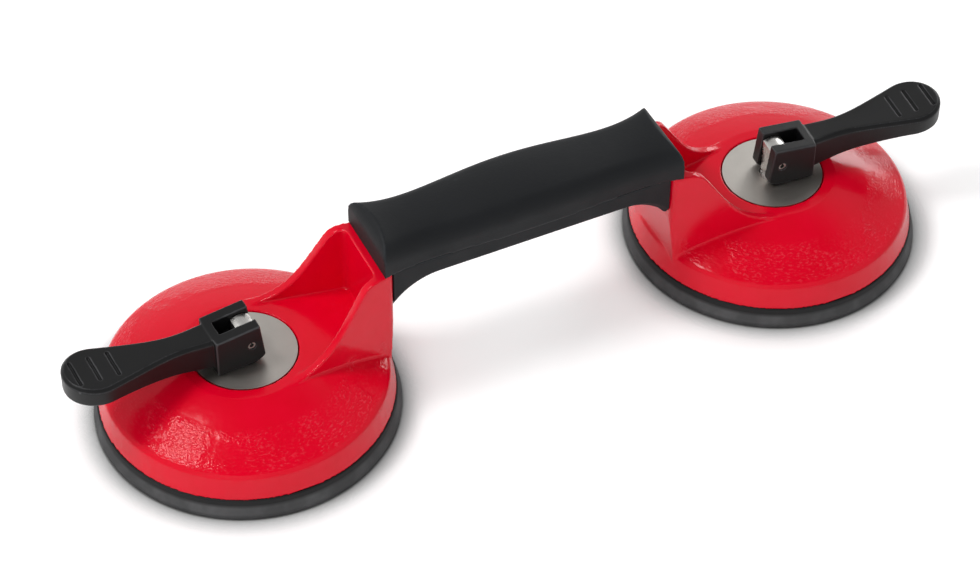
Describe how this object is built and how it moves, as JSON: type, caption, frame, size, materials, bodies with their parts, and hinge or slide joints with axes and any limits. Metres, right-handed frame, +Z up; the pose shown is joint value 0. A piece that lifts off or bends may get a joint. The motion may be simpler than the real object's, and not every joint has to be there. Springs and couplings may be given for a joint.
{
  "type": "two-cup suction lifter for floor tiles",
  "caption": "Hand-held suction lifter: rubber pads under a red cast body with a black bar grip and folding cam levers.",
  "frame": {"origin": "on the ground plane under the pads' lips, midway between the two cups", "axes": "+X from the left cup to the right cup along the grip, +Y away from the user, +Z up"},
  "size_m": [0.378, 0.12, 0.0768],
  "materials": {
    "crimson_paint": "aluminium die casting under gloss crimson powder coat",
    "grip_plastic": "fine-grained matte black",
    "lever_plastic": "satin black",
    "bush_plastic": "natural white",
    "pad_rubber": "matte black",
    "satin_steel": "satin, turned",
    "bright_steel": "bright zinc plate",
    "zinc_steel": "zinc plate"
  },
  "bodies": {
    "casting": {"body_casting": "crimson_paint", "grip_upper_shell": "grip_plastic", "grip_lower_shell": "grip_plastic", "grip_screws": "zinc_steel", "suction_pad_left": "pad_rubber", "pressure_disc_left": "satin_steel", "guide_bush_left": "bush_plastic", "suction_pad_right": "pad_rubber", "pressure_disc_right": "satin_steel", "guide_bush_right": "bush_plastic"},
    "core_left": {"insert_plate_left": "zinc_steel", "stud_washer_left": "zinc_steel", "stud_nut_left": "zinc_steel"},
    "swivel_left": {"stud_left": "bright_steel"},
    "cam_lever_left": {"lever_left": "lever_plastic", "cross_pin_left": "zinc_steel"},
    "core_right": {"insert_plate_right": "zinc_steel", "stud_washer_right": "zinc_steel", "stud_nut_right": "zinc_steel"},
    "swivel_right": {"stud_right": "bright_steel"},
    "cam_lever_right": {"lever_right": "lever_plastic", "cross_pin_right": "zinc_steel"}
  },
  "joints": [
    {"name": "pad_release_left", "type": "slide", "parent": "casting", "child": "core_left", "axis": [0, 0, 1], "range_m": [-0.002, 0], "deforming": ["suction_pad_left"]},
    {"name": "lever_swivel_left", "type": "hinge", "parent": "core_left", "child": "swivel_left", "pos_m": [-0.1162, 0, 0.0298], "axis": [0, 0, 1], "range_deg": [-90, 90]},
    {"name": "lever_hinge_left", "type": "hinge", "parent": "swivel_left", "child": "cam_lever_left", "pos_m": [-0.1162, 0, 0.0397], "axis": [-0.0401, 0.9992, 0], "range_deg": [0, 90]},
    {"name": "pad_release_right", "type": "slide", "parent": "casting", "child": "core_right", "axis": [0, 0, 1], "range_m": [-0.002, 0], "deforming": ["suction_pad_right"]},
    {"name": "lever_swivel_right", "type": "hinge", "parent": "core_right", "child": "swivel_right", "pos_m": [0.1162, 0, 0.0298], "axis": [0, 0, 1], "range_deg": [-90, 90]},
    {"name": "lever_hinge_right", "type": "hinge", "parent": "swivel_right", "child": "cam_lever_right", "pos_m": [0.1162, 0, 0.0397], "axis": [-0.0785, -0.9969, 0], "range_deg": [0, 90]}
  ],
  "couplings": [
    {"joint": "pad_release_left", "follows": "lever_hinge_left", "m_per_rad": -0.0012732},
    {"joint": "pad_release_right", "follows": "lever_hinge_right", "m_per_rad": -0.0012732}
  ]
}
